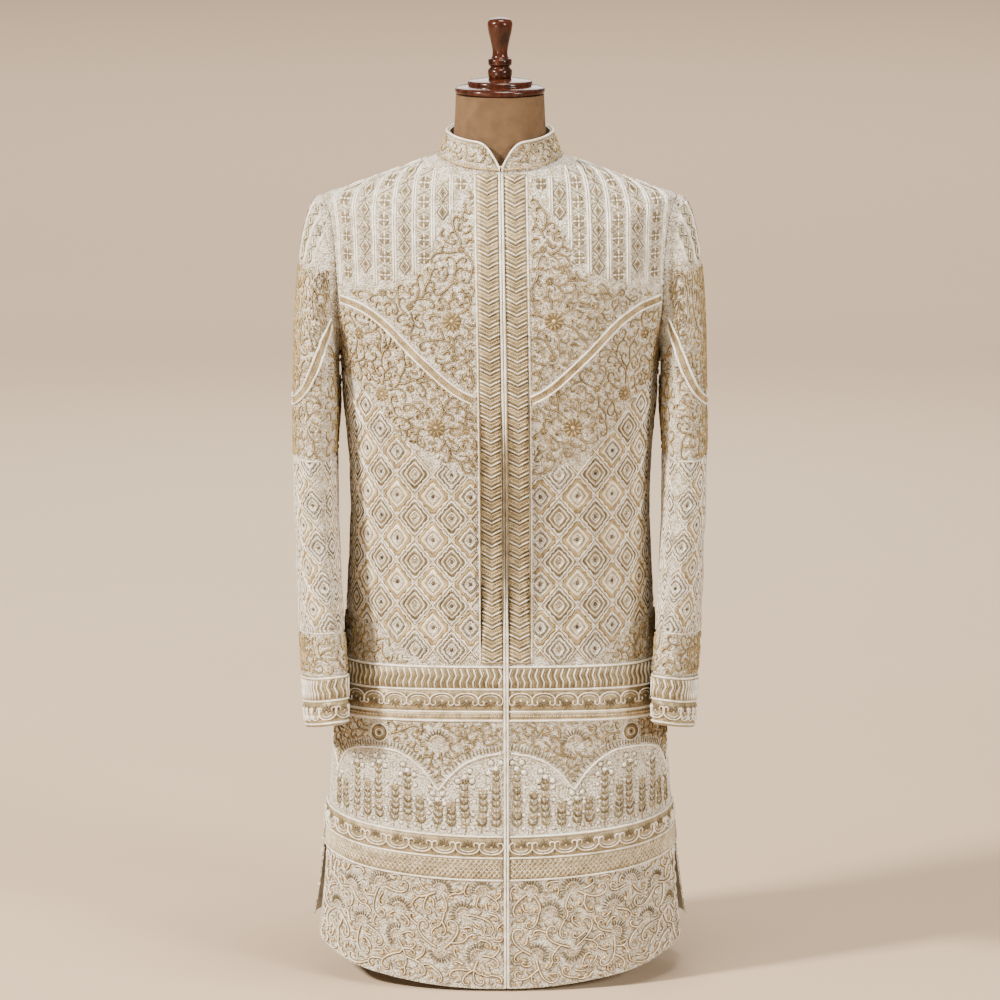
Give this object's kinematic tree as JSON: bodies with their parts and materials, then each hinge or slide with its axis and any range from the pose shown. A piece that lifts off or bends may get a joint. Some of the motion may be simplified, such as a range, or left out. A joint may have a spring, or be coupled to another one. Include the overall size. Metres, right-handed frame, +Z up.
{
  "type": "sherwani coat on a limbless dress form",
  "caption": "Knee-length ivory sherwani with stand collar, braided placket and raised embroidered bands, worn open-hemmed on a limbless dress form with a turned wooden neck cap.",
  "frame": {"origin": "centre of the underside of the stand's base, on the floor", "axes": "+Z up, the coat's front faces -Y, the wearer's left side is +X"},
  "size_m": [0.5198, 0.2981, 1.1972],
  "materials": {
    "embroidered_silk": "satin",
    "plain_silk": "satin",
    "gold_work": "metallic thread",
    "white_cord": "satin",
    "taupe_linen": "matte",
    "polished_wood": "gloss",
    "dark_steel": "satin"
  },
  "bodies": {
    "root": {"front_left": "embroidered_silk", "front_right": "embroidered_silk", "back": "embroidered_silk", "sleeve_upper_left": "embroidered_silk", "sleeve_upper_right": "embroidered_silk", "sleeve_under_left": "embroidered_silk", "sleeve_under_right": "embroidered_silk", "collar": "embroidered_silk", "belt_front_left": "gold_work", "belt_front_right": "gold_work", "belt_back": "gold_work", "border_front_left": "gold_work", "border_front_right": "gold_work", "border_back": "gold_work", "chevron_left": "gold_work", "chevron_right": "gold_work", "yoke_band_left": "gold_work", "yoke_band_right": "gold_work", "sleeve_band_left": "gold_work", "sleeve_band_right": "gold_work", "cuff_band_left": "gold_work", "cuff_band_right": "gold_work", "collar_base_cord": "gold_work", "edge_cord_left": "white_cord", "edge_cord_right": "white_cord", "collar_edge_cord": "white_cord", "hook_loop": "white_cord", "underlap": "plain_silk", "form_body": "taupe_linen", "neck_cap": "polished_wood", "finial": "polished_wood", "stand_pole": "dark_steel", "stand_base": "dark_steel"}
  },
  "joints": []
}
